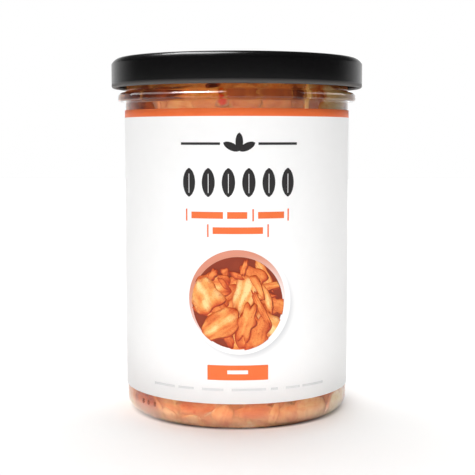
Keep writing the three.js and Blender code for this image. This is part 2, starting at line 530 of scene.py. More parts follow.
@dataclass(frozen=True)
class Vegetable:
    """Wet flesh of one kind of cut, from pale to deep; scales are waves for each millimetre."""

    name: str
    stops: Stops
    stain: Colour
    vein_scale: float = 0.9
    vein_length_scale: float = 0.12
    vein_shading: float = 0.4
    vein_depth: float = 0.12 * MM
    cloud_scale: float = 0.28
    cloud_shading: float = 0.6
    stain_scale: float = 0.45
    stain_limits: Span = (0.55, 0.72)
    stain_share: float = 0.55
    sunk_limits: Span = (0.45, 1.0)
    sunk_raggedness: float = 0.5
    roughness: Span = (0.28, 0.48)

    def material(self) -> bpy.types.Material:
        """Builds the flesh: long veins, clouds, stains of chilli, edges that fade into the brine, and the
        brine's painted shade and light.

        Returns:
            The material.
        """
        shader = new_shader(self.name)
        brine = ChilliBrine()
        tone = shader.attribute("tone")
        rim = shader.attribute("rim")
        grain = shader.attribute("grain", "Vector")
        vein = shader.noise(shader.stretched(grain, (self.vein_length_scale, self.vein_scale, 1.0)), 1.0)
        cloud = shader.noise(grain, self.cloud_scale, detail=6.0, roughness=0.62)
        spots = shader.noise(grain, self.stain_scale, detail=5.0, roughness=0.65)
        stain = spots.between(*self.stain_limits)
        shade = tone + self.vein_shading * (vein - 0.5) + self.cloud_shading * (cloud - 0.5)
        flesh = shader.mix(self.stain_share * stain, shader.ramp(shade, self.stops), self.stain)
        sunk = (rim + self.sunk_raggedness * (cloud - 0.5)).between(*self.sunk_limits)
        smooth, dull = self.roughness
        return shader.principled({
            # painted shade under the lid and at the sides, painted light near the floor
            "Base Color": brine.painted_shade_and_light(shader, shader.mix(sunk, flesh, brine.colour(shader))),
            "Roughness": smooth + (dull - smooth) * cloud,
            "Specular IOR Level": 0.0,
            "Subsurface Weight": 0.35,
            "Subsurface Radius": (1.0, 0.45, 0.2),
            "Subsurface Scale": 1.5 * MM,
            "Normal": shader.bump(vein, self.vein_depth),
        })


@dataclass(frozen=True)
class StudioPaper:
    """White paper sweep with a deep shade round the jar's foot and a glow far off, in millimetres."""

    colour: Colour = srgb(250, 249, 248)
    mottle: Colour = srgb(252, 251, 250)
    mottle_scale: float = 9.0
    contact: Colour = srgb(40, 26, 24)
    contact_reach: Span = (35.0, 37.8)
    contact_sides: Span = (16.0, 36.0)
    contact_fade: float = 0.55
    far_reach: Span = (400.0, 1500.0)
    far_glow: Colour = (0.35, 0.35, 0.35, 1.0)

    def material(self) -> bpy.types.Material:
        """Builds the paper, which darkens where the heel all but touches it, and less so at the sides.

        Returns:
            The material.
        """
        shader = new_shader("studio_paper")
        away = shader.away()
        paper = shader.mix(shader.noise(shader.place(), self.mottle_scale), self.colour, self.mottle)
        touched = 1 - away.between(*metres(self.contact_reach))
        shade = touched * (1 - self.contact_fade * shader.sides(self.contact_sides))
        far = away.between(*metres(self.far_reach))
        return shader.principled({
            "Base Color": shader.mix(shade, paper, self.contact),
            "Roughness": 0.6,
            "Specular IOR Level": 0.2,
            "Emission Color": shader.mix(far, NO_LIGHT, self.far_glow),
            "Emission Strength": 1.0,
        })


def deselect() -> None:
    """Leaves edit mode and deselects every object."""
    if bpy.context.object is not None and bpy.context.object.mode != "OBJECT":
        bpy.ops.object.mode_set(mode="OBJECT")
    bpy.ops.object.select_all(action="DESELECT")


def settle(piece: bpy.types.Object, name: str) -> None:
    """Names the selected piece and moves its place from the object into the mesh.

    Args:
        piece: the piece.
        name: its name.
    """
    piece.name = name
    piece.data.name = name
    bpy.ops.object.transform_apply(location=True, rotation=True, scale=True)


def dress(piece: bpy.types.Object, materials: list[bpy.types.Material]) -> None:
    """Gives a piece its materials and its body.

    Args:
        piece: the finished piece.
        materials: its material slots, in order.
    """
    piece.data.materials.clear()
    for material in materials:
        piece.data.materials.append(material)
    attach(piece, BODY)
    log.info("%s: %d faces", piece.name, len(piece.data.polygons))


class Profile:
    """Half outline of a turned piece, as points of radius and height in millimetres."""

    closest_points = 1e-4

    def __init__(self, radius: float, height: float) -> None:
        """Starts the outline at a point."""
        self.points: list[Span] = [(radius, height)]

    def line(self, radius: float, height: float, steps: int = 1) -> "Profile":
        """Runs straight to a point.

        Args:
            radius: the point's radius.
            height: its height.
            steps: equal steps on the way.

        Returns:
            This outline.
        """
        start = self.points[-1]
        middle = ((start[0] + radius) / 2, (start[1] + height) / 2)
        return self.bow(middle, (radius, height), steps)

    def arc(self, middle: Span, radius: float, start: float, end: float, steps: int = 8) -> "Profile":
        """Runs straight to a round corner and along it.

        Args:
            middle: the corner's centre.
            radius: the corner's radius.
            start: angle where the corner begins, in degrees from outwards, turning upwards.
            end: angle where it ends.
            steps: straight steps along it.

        Returns:
            This outline.
        """
        for step in range(steps + 1):
            angle = math.radians(start + (end - start) * step / steps)
            point = (middle[0] + radius * math.cos(angle), middle[1] + radius * math.sin(angle))
            if math.dist(point, self.points[-1]) > self.closest_points:
                self.points.append(point)
        return self

    def bow(self, control: Span, end: Span, steps: int = 8) -> "Profile":
        """Runs along a bow that leaves towards a control point and ends coming from it.

        Args:
            control: the control point.
            end: the bow's end.
            steps: straight steps along it.

        Returns:
            This outline.
        """
        start = self.points[-1]
        for step in range(1, steps + 1):
            share = step / steps
            weights = ((1 - share) ** 2, 2 * share * (1 - share), share ** 2)
            radius, height = (np.dot(weights, axis) for axis in zip(start, control, end))
            self.points.append((float(radius), float(height)))
        return self


def turn(name: str, profile: Profile, steps: int, gap: float = 0.0) -> bpy.types.Object:
    """Turns an outline about the jar's axis.

    Args:
        name: the piece's name.
        profile: the outline.
        steps: sides round the axis.
        gap: angle left open at the back, in radians.

    Returns:
        The turned piece, closed where no gap is left.
    """
    start = math.pi / 2 - gap / 2
    across = np.array([math.cos(start), math.sin(start)])
    corners = [(*(radius * MM * across), height * MM) for radius, height in profile.points]
    deselect()
    bpy.ops.mesh.primitive_plane_add(size=MM, location=corners[0])
    piece = bpy.context.object
    bpy.ops.object.mode_set(mode="EDIT")
    bpy.ops.mesh.select_all(action="SELECT")
    bpy.ops.mesh.merge(type="CENTER")
    for corner, following in zip(corners, corners[1:]):
        step = tuple(np.subtract(following, corner))
        bpy.ops.mesh.extrude_region_move(TRANSFORM_OT_translate={"value": step})
    bpy.ops.mesh.select_all(action="SELECT")
    bpy.ops.mesh.spin(steps=steps, angle=2 * math.pi - gap, center=(0, 0, 0), axis=(0, 0, 1))
    bpy.ops.mesh.select_all(action="SELECT")
    bpy.ops.mesh.remove_doubles(threshold=TINY)
    bpy.ops.mesh.normals_make_consistent(inside=False)
    bpy.ops.object.mode_set(mode="OBJECT")
    settle(piece, name)
    bpy.ops.object.shade_smooth_by_angle(angle=SMOOTH_ANGLE)
    return piece


def thicken(piece: bpy.types.Object, thickness: float) -> None:
    """Gives a sheet its thickness, outwards.

    Args:
        piece: the sheet.
        thickness: its thickness, in metres.
    """
    deselect()
    bpy.context.view_layer.objects.active = piece
    piece.select_set(True)
    solid = piece.modifiers.new("thickness", "SOLIDIFY")
    solid.thickness = thickness
    solid.offset = 1.0
    bpy.ops.object.modifier_apply(modifier=solid.name)


class SlabBatch:
    """Many bent slabs gathered into one mesh, each with its own tone and grain."""

    inner_grain_shift = (0.0, 0.0, 3.0)

    def __init__(self, cells: tuple[int, int]) -> None:
        """Starts an empty batch.

        Args:
            cells: grid of both faces of a slab, along and across it.
        """
        self.cells = cells
        self.points: list[np.ndarray] = []
        self.tones: list[np.ndarray] = []
        self.rims: list[np.ndarray] = []
        self.grains: list[np.ndarray] = []

    def grid(self) -> tuple[np.ndarray, np.ndarray]:
        """Lays out a slab's grid.

        Returns:
            Every grid point's place along and across, from -1 to 1.
        """
        sides = [np.linspace(-1.0, 1.0, count + 1) for count in self.cells]
        along, across = np.meshgrid(*sides, indexing="ij")
        return along.ravel(), across.ravel()

    def add(
        self, outer: np.ndarray, inner: np.ndarray, tone: np.ndarray, rim: np.ndarray, grain: np.ndarray
    ) -> None:
        """Adds one slab.

        Args:
            outer: points of its outer face, in grid order.
            inner: points of its inner face.
            tone: its tone at each grid point.
            rim: how near each grid point is to where the slab ends, from 0 to 1.
            grain: its own coordinates at each grid point, in millimetres.
        """
        self.points += [outer, inner]
        self.tones += [tone, tone]
        self.rims += [rim, rim]
        self.grains += [grain, grain + np.array(self.inner_grain_shift)]

    def _faces(self) -> np.ndarray:
        """Joins one slab's points.

        Returns:
            Four point numbers for each face: outer, inner and rim.
        """
        columns, rows = self.cells
        index = np.arange((columns + 1) * (rows + 1)).reshape(columns + 1, rows + 1)
        corners = [index[:-1, :-1], index[1:, :-1], index[1:, 1:], index[:-1, 1:]]
        outer = np.stack(corners, axis=-1).reshape(-1, 4)
        inner = outer[:, ::-1] + index.size
        rim = np.concatenate([index[:-1, 0], index[-1, :-1], index[:0:-1, -1], index[0, :0:-1]])
        following = np.roll(rim, -1)
        wall = np.stack([rim, rim + index.size, following + index.size, following], axis=-1)
        return np.concatenate([outer, inner, wall])

    def build(self, name: str) -> bpy.types.Object:
        """Makes the mesh of the whole batch.

        Args:
            name: the piece's name.

        Returns:
            The piece, smooth and at the origin.
        """
        points = np.concatenate(self.points)
        slab_points = 2 * (self.cells[0] + 1) * (self.cells[1] + 1)
        offsets = np.arange(0, len(points), slab_points)
        faces = (self._faces()[None, :, :] + offsets[:, None, None]).reshape(-1, 4)
        mesh = bpy.data.meshes.new(name)
        mesh.from_pydata(points.tolist(), [], faces.tolist())
        for label, values in (("tone", self.tones), ("rim", self.rims)):
            mesh.attributes.new(label, "FLOAT", "POINT").data.foreach_set("value", np.concatenate(values))
        grain = mesh.attributes.new("grain", "FLOAT_VECTOR", "POINT")
        grain.data.foreach_set("vector", np.concatenate(self.grains).ravel())
        mesh.polygons.foreach_set("use_smooth", np.ones(len(faces), dtype=bool))
        mesh.update()
        piece = bpy.data.objects.new(name, mesh)
        bpy.context.scene.collection.objects.link(piece)
        return piece


def cut_outline(
    along: np.ndarray, across: np.ndarray, half: Span, ragged: float, draw: np.random.Generator
) -> tuple[np.ndarray, np.ndarray, np.ndarray]:
    """Shapes a grid into the outline of a cut: rounded, tapered and ragged.

    Args:
        along: each grid point's place along the cut, from -1 to 1.
        across: its place across the cut.
        half: half the cut's length and half its width.
        ragged: how much its edge wanders, as a share of its size.
        draw: the seeded draws.

    Returns:
        Each point's distance along and across, and how near it is to the edge, from 0 to 1.
    """
    fewest_lobes, most_lobes, most_taper, rounding = 3, 7, 0.25, 0.35
    edge = np.maximum(np.abs(along), np.abs(across))
    lobes = draw.integers(fewest_lobes, most_lobes + 1)
    waves = np.sin(lobes * np.arctan2(across, along) + draw.uniform(0.0, 2 * math.pi))
    wobble = 1 + ragged * edge ** 3 * waves
    taper = 1 + draw.uniform(-most_taper, most_taper) * along
    length = half[0] * along * np.sqrt(1 - rounding * across ** 2) * wobble
    width = half[1] * across * np.sqrt(1 - rounding * along ** 2) * wobble * taper
    return length, width, edge


def turned(length: np.ndarray, width: np.ndarray, tilt: float) -> tuple[np.ndarray, np.ndarray]:
    """Turns distances along and across a shape into distances sideways and upwards."""
    cosine, sine = math.cos(tilt), math.sin(tilt)
    return length * cosine - width * sine, length * sine + width * cosine


@dataclass
class GlassJar:
    """The straight-sided jar: heel, wall, bead and neck, in millimetres."""

    body_radius: float
    rim_top: float
    bead_radius: float
    wall: float = 2.7
    heel_round: float = 4.5
    foot_width: float = 3.1
    push_up: float = 1.4
    push_up_level: float = 0.7
    floor_height: float = 2.0
    floor_crown: float = 1.6
    inner_heel_round: float = 4.0
    bead_bottom: float = 105.0
    bead_face: float = 1.55
    bead_corner: float = 1.5
    bead_corner_turn: float = 75.0
    bead_hollow: float = 0.3
    bead_round: float = 0.7
    bead_fillet: float = 0.6
    dot_azimuths: tuple[float, ...] = (-54.5, -50.0, -45.0)
    dot_height: float = 5.9
    dot_half: Span = (0.55, 0.85)
    dot_sunk: float = 0.1
    # painted shade: the dots' glass is tinted darker than the jar's
    dot_shade_tint: Colour = (0.6, 0.48, 0.42, 1.0)
    steps: int = 192

    @property
    def inner_radius(self) -> float:
        """Radius of the hollow."""
        return self.body_radius - self.wall

    @property
    def floor_edge(self) -> float:
        """Radius where the floor begins to round up into the wall."""
        return self.inner_radius - self.inner_heel_round

    def outline(self) -> Profile:
        """Draws the jar from the middle of its underside over the rim to the middle of its floor.

        Returns:
            The outline.
        """
        foot_outer = self.body_radius - self.heel_round
        foot_inner = foot_outer - self.foot_width
        lean = math.radians(self.bead_corner_turn)
        both_rounds = self.bead_corner + self.bead_hollow
        corner = (self.bead_radius - self.bead_corner, self.bead_bottom + self.bead_face)
        slope_width = corner[0] - self.body_radius - self.bead_hollow + both_rounds * math.cos(lean)
        bead_top = corner[1] + slope_width / math.tan(lean) + both_rounds * math.sin(lean)
        under_bead = (self.body_radius + self.bead_fillet, self.bead_bottom - self.bead_fillet)
        bead_foot = (self.bead_radius - self.bead_round, self.bead_bottom + self.bead_round)
        rim_round = self.wall / 2
        rim = (self.body_radius - rim_round, self.rim_top - rim_round)
        inner_heel = (self.floor_edge, self.floor_height + self.inner_heel_round)
        floor_top = self.floor_height + self.floor_crown
        profile = Profile(0.0, self.push_up)
        profile.bow((foot_inner * self.push_up_level, self.push_up), (foot_inner, 0.0), steps=10)
        profile.arc((foot_outer, self.heel_round), self.heel_round, -90, 0, steps=14)
        profile.line(self.body_radius, under_bead[1], steps=6)
        profile.arc(under_bead, self.bead_fillet, 180, 90, steps=6)
        profile.arc(bead_foot, self.bead_round, -90, 0)
        profile.arc(corner, self.bead_corner, 0, self.bead_corner_turn, steps=10)
        profile.arc(
            (self.body_radius + self.bead_hollow, bead_top), self.bead_hollow,
            180 + self.bead_corner_turn, 180, steps=6,
        )
        profile.arc(rim, rim_round, 0, 180, steps=12)
        profile.line(self.inner_radius, inner_heel[1], steps=6)
        profile.arc(inner_heel, self.inner_heel_round, 0, -90, steps=12)
        profile.bow((self.floor_edge / 2, floor_top), (0.0, floor_top), steps=10)
        return profile

    def build(self) -> bpy.types.Object:
        """Turns the glass, dresses it and sets the mould's dots on it.

        Returns:
            The glass.
        """
        piece = turn("jar_glass", self.outline(), self.steps)
        piece.visible_shadow = False
        dress(piece, [ClearGlass().material()])
        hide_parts("glass_jar")
        # the dots get darker glass, as painted shade
        shaded_dot_glass = ClearGlass("shaded_dot_glass", self.dot_shade_tint).material()
        for number, azimuth in enumerate(self.dot_azimuths, 1):
            self._dot(f"mould_dot_{number}", math.radians(azimuth), shaded_dot_glass)
        return piece

    def _dot(self, name: str, azimuth: float, glass: bpy.types.Material) -> None:
        """Raises one of the mould's marking dots on the wall.

        Args:
            name: the dot's name.
            azimuth: its place round the jar, from the front to the right, in radians.
            glass: its material.
        """
        half_width, half_height = metres(self.dot_half)
        out = (self.body_radius - self.dot_sunk) * MM
        deselect()
        bpy.ops.mesh.primitive_uv_sphere_add(
            segments=20, ring_count=10, radius=half_width,
            location=(out * math.sin(azimuth), -out * math.cos(azimuth), self.dot_height * MM),
        )
        piece = bpy.context.object
        piece.scale.z = half_height / half_width
        settle(piece, name)
        bpy.ops.object.shade_smooth()
        piece.visible_shadow = False
        dress(piece, [glass])


@dataclass
class TwistLid:
    """The pressed lid: panel, groove, shoulder, skirt and rolled edge, in millimetres."""

    radius: float
    bottom: float
    top: float
    sheet: float = 0.6
    shoulder: float = 3.2
    shoulder_drop: float = 2.2
    corner: float = 0.6
    corner_turn: float = 33.0
    curl: float = 0.8
    panel_radius: float = 25.0
    panel_drop: float = 0.7
    groove_radius: float = 33.0
    groove_drop: float = 1.1
    step_width: float = 1.5
    steps: int = 192

    def _top_line(self, profile: Profile, drop: float, inwards: bool) -> None:
        """Draws the stepped top between the axis and the shoulder.

        Args:
            profile: the outline to go on with.
            drop: how far below the top face the line runs.
            inwards: whether it runs towards the axis.
        """
        corners = [
            (0.0, self.top - self.panel_drop),
            (self.panel_radius, self.top - self.panel_drop),
            (self.panel_radius + self.step_width, self.top - self.groove_drop),
            (self.groove_radius, self.top - self.groove_drop),
            (self.groove_radius + self.step_width, self.top),
        ]
        for radius, height in reversed(corners) if inwards else corners[1:]:
            start = profile.points[-1]
            middle = ((start[0] + radius) / 2, (start[1] + height - drop) / 2)
            profile.bow((middle[0], start[1]), middle, steps=3)
            profile.bow((middle[0], height - drop), (radius, height - drop), steps=3)

    def outline(self) -> Profile:
        """Draws the lid from the middle of its underside round the rolled edge to the middle of its top.

        Returns:
            The outline.
        """
        shoulder = self.radius - self.shoulder
        corner = (self.radius - self.corner, self.top - self.shoulder_drop)
        lean = math.radians(self.corner_turn)
        slope_rise = self.shoulder_drop - self.corner * math.sin(lean)
        slope_bend = corner[0] + self.corner * math.cos(lean) - slope_rise * math.tan(lean)
        curl = (self.radius - self.curl, self.bottom + self.curl)
        curl_start = math.degrees(math.acos((self.curl - self.sheet) / self.curl))
        under = self.top - self.sheet
        profile = Profile(0.0, under - self.panel_drop)
        self._top_line(profile, self.sheet, inwards=False)
        profile.line(shoulder, under)
        skirt_top = (self.radius - self.sheet, corner[1] - self.sheet)
        profile.bow((slope_bend - self.sheet / 2, under), skirt_top)
        profile.arc(curl, self.curl, curl_start, 360, steps=20)
        profile.arc(corner, self.corner, 0, self.corner_turn, steps=6)
        profile.bow((slope_bend, self.top), (shoulder, self.top), steps=14)
        self._top_line(profile, 0.0, inwards=True)
        return profile

    def build(self) -> None:
        """Turns the lid and dresses it."""
        piece = turn("lid_shell", self.outline(), self.steps)
        dress(piece, [BlackLacquer(self.bottom + 2 * self.curl).material()])
        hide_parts("lid")


@dataclass(frozen=True)
class PictureCut:
    """A kind of cut in the printed bowl: half its sides in millimetres, its tone, ribs and raggedness."""

    half_length: Span
    half_width: Span
    tone: Span
    ribs: float
    ragged: float


class Picture(Enum):
    """The kinds of cut that the printed bowl holds, in the order in which they are heaped."""

    STEM = PictureCut((4.8, 7.4), (3.4, 5.0), (0.42, 0.8), 0.2, 0.1)
    LEAF = PictureCut((4.0, 6.4), (2.2, 3.6), (0.24, 0.5), 0.06, 0.22)
    STRIP = PictureCut((3.6, 6.4), (0.9, 1.6), (0.3, 0.66), 0.08, 0.12)
    SHRED = PictureCut((1.2, 2.6), (0.6, 1.1), (0.12, 0.42), 0.0, 0.15)


@dataclass(frozen=True)
class PrintedRow:
    """A row of printed bars parted by thin uprights, in millimetres round the jar and above the table."""

    bars: tuple[Span, ...]
    edges: Span
    uprights: tuple[float, ...] = ()
    upright_ends: Span = (0.0, 0.0)
    upright_width: float = 0.5

    def shapes(self) -> list[Bar]:
        """Lists the row's bars, then its uprights."""
        uprights = [(place, place + self.upright_width, *self.upright_ends) for place in self.uprights]
        return [(*bar, *self.edges) for bar in self.bars] + uprights


ORANGE_ROWS = (
    PrintedRow(((-14.6, -4.3), (-3.0, 3.3), (6.7, 15.3)), (67.7, 69.8), (-16.5, 4.9, 16.5), (66.9, 70.7)),
    PrintedRow(((-7.6, 8.3),), (62.9, 65.0), (-9.4, 9.7), (61.9, 65.9)),
)
GREY_LINE = PrintedRow(
    bars=(
        (-29.6, -21.0), (-19.6, -14.0), (-11.2, -4.2), (-1.6, 9.4), (11.0, 13.4), (16.2, 21.4), (22.4, 31.6)
    ),
    edges=(12.9, 13.7),
)


@dataclass
class WrapLabel:
    """The paper label and its print, in millimetres; arcs run from the middle of the front to the right."""

    outer_radius: float
    bottom: float
    top: float
    sheet: float = 0.15
    gap: float = 8.0
    band: float = 2.45
    film: float = 0.01
    sprig_foot: Span = (0.8, 89.0)
    sprig_stalk: float = 2.7
    sprig_droop: float = 0.45
    sprig_leaf: Span = (2.8, 1.2)
    rule_ends: tuple[Span, ...] = ((-18.2, -5.2), (6.8, 19.8))
    rule_edges: Span = (90.7, 91.5)
    frieze_middle: Span = (0.6, 79.0)
    frieze_count: int = 6
    frieze_pitch: float = 6.4
    frieze_leaf: Span = (4.5, 2.1)
    rib_half: float = 0.1
    rib_ends: Span = (75.7, 81.7)
    box: Bar = (-9.4, 10.1, 16.4, 21.2)
    box_dash: Bar = (-3.0, 3.6, 18.4, 19.6)
    bowl_middle: Span = (0.3, 41.1)
    bowl_radius: float = 14.6
    bowl_cuts: int = 40
    bowl_spread: float = 0.87
    bowl_overhang: Span = (-0.4, 0.7)
    bowl_seed: int = 11
    steps: int = 240

    def build(self) -> None:
        """Makes the sheet and everything printed on it."""
        self.inks = {ink: ink.value.material() for ink in Ink}
        self._sheet()
        self._ornament()
        self._orange_rows()
        self._bowl()
        self._foot_line()

    def _sheet(self) -> None:
        """Wraps the sheet round the glass, with the orange band along its top."""
        inner = self.outer_radius - self.sheet
        band_bottom = self.top - self.band
        profile = Profile(inner, self.bottom).line(inner, band_bottom, steps=4).line(inner, self.top)
        piece = turn("label_sheet", profile, self.steps, self.gap / inner)
        thicken(piece, self.sheet * MM)
        dress(piece, [self.inks[Ink.WHITE], self.inks[Ink.ORANGE]])
        for face in piece.data.polygons:
            face.material_index = int(face.center.z > band_bottom * MM)
        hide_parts("label")

    def _on_paper(self, arc: np.ndarray, height: np.ndarray, lift: float) -> np.ndarray:
        """Finds points on the curved paper.

        Args:
            arc: distances round the jar.
            height: heights above the table.
            lift: distance off the paper.

        Returns:
            The points, in metres.
        """
        radius = self.outer_radius + lift
        angle = arc / self.outer_radius
        return np.stack([radius * np.sin(angle), -radius * np.cos(angle), height], axis=-1) * MM

    def _roll(self, piece: bpy.types.Object, layer: int, ink: Ink) -> None:
        """Rolls a flat shape round the paper, as a film of ink.

        Args:
            piece: the shape, flat, with arc along X and height along Z.
            layer: how many films lie under it.
            ink: its colour.
        """
        mesh = piece.data
        flat = np.empty(len(mesh.vertices) * 3)
        mesh.vertices.foreach_get("co", flat)
        flat = flat.reshape(-1, 3) / MM
        rolled = self._on_paper(flat[:, 0], flat[:, 2], self.film * (1 + 2 * layer))
        mesh.vertices.foreach_set("co", rolled.ravel())
        mesh.update()
        thicken(piece, self.film * MM)
        dress(piece, [self.inks[ink]])

    def _bars(self, name: str, bars: list[Bar], ink: Ink, layer: int = 0) -> None:
        """Prints a set of plain bars as one piece.

        Args:
            name: the piece's name.
            bars: left end, right end, lower edge and upper edge of each.
            ink: their colour.
            layer: how many films lie under them.
        """
        made = []
        for left, right, low, high in bars:
            deselect()
            bpy.ops.mesh.primitive_grid_add(
                x_subdivisions=max(1, math.ceil(right - left)), y_subdivisions=1, size=MM,
                location=((left + right) / 2 * MM, 0, (low + high) / 2 * MM), rotation=(math.pi / 2, 0, 0),
            )
            piece = bpy.context.object
            piece.scale = (right - left, high - low, 1)
            settle(piece, name)
            made.append(piece)
        deselect()
        for piece in made:
            piece.select_set(True)
        bpy.context.view_layer.objects.active = made[0]
        bpy.ops.object.join()
        self._roll(made[0], layer, ink)

    def _disc(self, name: str, middle: Span, radius: float, ink: Ink, layer: int) -> None:
        """Prints a filled disc, ringed so that it bends with the paper.

        Args:
            name: the piece's name.
            middle: its centre.
            radius: its radius.
            ink: its colour.
            layer: how many films lie under it.
        """
        deselect()
        bpy.ops.mesh.primitive_circle_add(
            vertices=96, radius=radius * MM, fill_type="NGON",
            location=(middle[0] * MM, 0, middle[1] * MM), rotation=(math.pi / 2, 0, 0),
        )
        piece = bpy.context.object
        bpy.ops.object.mode_set(mode="EDIT")
        bpy.ops.mesh.select_all(action="SELECT")
        for _ in range(int(radius) - 1):
            bpy.ops.mesh.inset(thickness=MM)
        bpy.ops.mesh.poke()
        bpy.ops.object.mode_set(mode="OBJECT")
        settle(piece, name)
        self._roll(piece, layer, ink)

    def _leaf(self, batch: SlabBatch, middle: Span, half: Span, tilt: float) -> None:
        """Adds one printed leaf, of one even tone, to a batch.

        Args:
            batch: the batch that takes it.
            middle: its centre.
            half: half its length and half its width.
            tilt: the turn of its length from level, in radians.
        """
        tip, fullness = 0.1, 0.7
        along, across = batch.grid()
        width = half[1] * across * (tip + (1 - tip) * (1 - along ** 2) ** fullness)
        sideways, upwards = turned(half[0] * along, width, tilt)
        bottom, top = (
            self._on_paper(middle[0] + sideways, middle[1] + upwards, lift)
            for lift in (self.film, 1.5 * self.film)
        )
        even = np.zeros_like(along)
        batch.add(top, bottom, even, even, np.zeros((along.size, 3)))

    def _ornament(self) -> None:
        """Prints a sprig between two rules, and a frieze of upright leaves with white ribs."""
        upright = math.pi / 2
        sprig = SlabBatch((10, 6))
        for tilt in (self.sprig_droop, upright, math.pi - self.sprig_droop):
            across = self.sprig_foot[0] + self.sprig_stalk * math.cos(tilt)
            rise = self.sprig_foot[1] + self.sprig_stalk * math.sin(tilt)
            self._leaf(sprig, (across, rise), self.sprig_leaf, tilt)
        frieze = SlabBatch((12, 6))
        middle, height = self.frieze_middle
        first = middle - self.frieze_pitch * (self.frieze_count - 1) / 2
        places = [first + self.frieze_pitch * index for index in range(self.frieze_count)]
        for place in places:
            self._leaf(frieze, (place, height), self.frieze_leaf, upright)
        for batch, name in ((sprig, "print_sprig"), (frieze, "print_leaf_frieze")):
            dress(batch.build(name), [self.inks[Ink.CHARCOAL]])
        rules = [(*ends, *self.rule_edges) for ends in self.rule_ends]
        ribs = [(place - self.rib_half, place + self.rib_half, *self.rib_ends) for place in places]
        self._bars("print_rules", rules, Ink.CHARCOAL)
        self._bars("print_leaf_ribs", ribs, Ink.WHITE, layer=1)

    def _orange_rows(self) -> None:
        """Prints the orange rows above the bowl."""
        self._bars("print_orange_rows", [bar for row in ORANGE_ROWS for bar in row.shapes()], Ink.ORANGE)

    def _bowl(self) -> None:
        """Prints a white bowl of food, seen from above, as plain discs and cut shapes."""
        discs = (
            ("print_bowl_shade", (2.0, 39.8), 17.8, Ink.SHADE),
            ("print_bowl", (1.0, 41.4), 16.7, Ink.WHITE),
            ("print_bowl_wall", (0.1, 42.3), 15.6, Ink.PEACH),
            ("print_bowl_sauce", self.bowl_middle, self.bowl_radius, Ink.RUST),
        )
        for layer, (name, middle, radius, ink) in enumerate(discs):
            self._disc(name, middle, radius, ink, layer)
        lowest_cut, next_cut = 9 * self.film, 1.4 * self.film
        kinds = [kind.value for kind in Picture]
        draw = np.random.default_rng(self.bowl_seed)
        food = SlabBatch((16, 14))
        for level, index in enumerate(draw.permutation(self.bowl_cuts)):
            reach = self.bowl_spread * self.bowl_radius * math.sqrt((index + 0.5) / self.bowl_cuts)
            angle = index * GOLDEN_ANGLE
            place = (reach * math.cos(angle), reach * math.sin(angle))
            self._picture_cut(food, kinds[level % len(kinds)], place, lowest_cut + next_cut * level, draw)
        dress(food.build("print_bowl_food"), [PrintedFood().material()])

    def _picture_cut(
        self, batch: SlabBatch, kind: PictureCut, place: Span, lift: float, draw: np.random.Generator
    ) -> None:
        """Prints one cut of cabbage, with its shadow under it; it ends round the bowl's edge.

        Args:
            batch: the batch that takes it.
            kind: its kind.
            place: its centre, from the bowl's.
            lift: distance of the shadow off the paper.
            draw: the seeded draws.
        """
        wave_counts, wave_phases, rib_counts, grain_range = (3, 6), (0, 6), (5, 8), (0, 200)
        shadow_shift, shadow_tone = (0.3, -0.35), 0.1
        body_lift, cut_film = 0.7 * self.film, 0.5 * self.film
        along, across = batch.grid()
        half = (draw.uniform(*kind.half_length), draw.uniform(*kind.half_width))
        length, width, edge = cut_outline(along, across, half, kind.ragged, draw)
        sideways, upwards = turned(length, width, draw.uniform(-math.pi / 2, math.pi / 2))
        waves = np.sin(draw.uniform(*wave_counts) * along + draw.uniform(*wave_phases) + 1.5 * across)
        ribs = np.cos(draw.uniform(*rib_counts) * across + 0.8 * along + 0.6 * waves)
        crown = 0.16 * (1 - edge ** 2) - 0.18 * edge ** 6
        tone = draw.uniform(*kind.tone) + 0.08 * waves + kind.ribs * ribs + crown
        grain = np.stack([length, width, np.full_like(along, draw.uniform(*grain_range))], axis=-1)
        held = self.bowl_radius + draw.uniform(*self.bowl_overhang)
        shadow = (shadow_shift, lift, np.full_like(along, shadow_tone))
        body = ((0.0, 0.0), lift + body_lift, tone)
        for shift, layer_lift, layer_tone in (shadow, body):
            arc = place[0] + shift[0] + sideways
            rise = place[1] + shift[1] + upwards
            inside = np.minimum(1.0, held / np.maximum(np.hypot(arc, rise), TINY))
            arc = self.bowl_middle[0] + arc * inside
            rise = self.bowl_middle[1] + rise * inside
            top = self._on_paper(arc, rise, layer_lift + cut_film)
            batch.add(top, self._on_paper(arc, rise, layer_lift), layer_tone, edge, grain)

    def _foot_line(self) -> None:
        """Prints the orange box, the white dash in it and the broken grey line below."""
        self._bars("print_box", [self.box], Ink.ORANGE)
        self._bars("print_box_dash", [self.box_dash], Ink.WHITE, layer=1)
        self._bars("print_small_line", GREY_LINE.shapes(), Ink.GREY)


@dataclass(frozen=True)
class CutSizes:
    """How one kind of cut is sized, in millimetres and radians; each cut draws from the ranges.

    A cut starts so far behind the wall, leans and curls away from it, and may bite into the glass.
    """

    piece: str
    finish: Vegetable
    count: int
    half_length: Span
    half_width: Span
    thickness: Span
    start: Span
    bite: Span
    lean: float
    tilt: float
    curl: Span
    tone: Span
    ragged: float
    cells: tuple[int, int]
    ruffle: float = 0.0


CABBAGE = (
    (0.0, srgb(252, 224, 186)),
    (0.25, srgb(230, 174, 120)),
    (0.47, srgb(218, 138, 84)),
    (0.68, srgb(198, 104, 62)),
    (0.85, srgb(172, 88, 62)),
    (1.0, srgb(96, 46, 36)),
)
RADISH = ((0.0, srgb(253, 206, 142)), (0.5, srgb(250, 160, 86)), (1.0, srgb(240, 124, 54)))
PEPPER = ((0.0, srgb(222, 60, 20)), (0.5, srgb(172, 36, 16)), (1.0, srgb(110, 20, 12)))
CHILLI_STAIN = srgb(176, 54, 18)


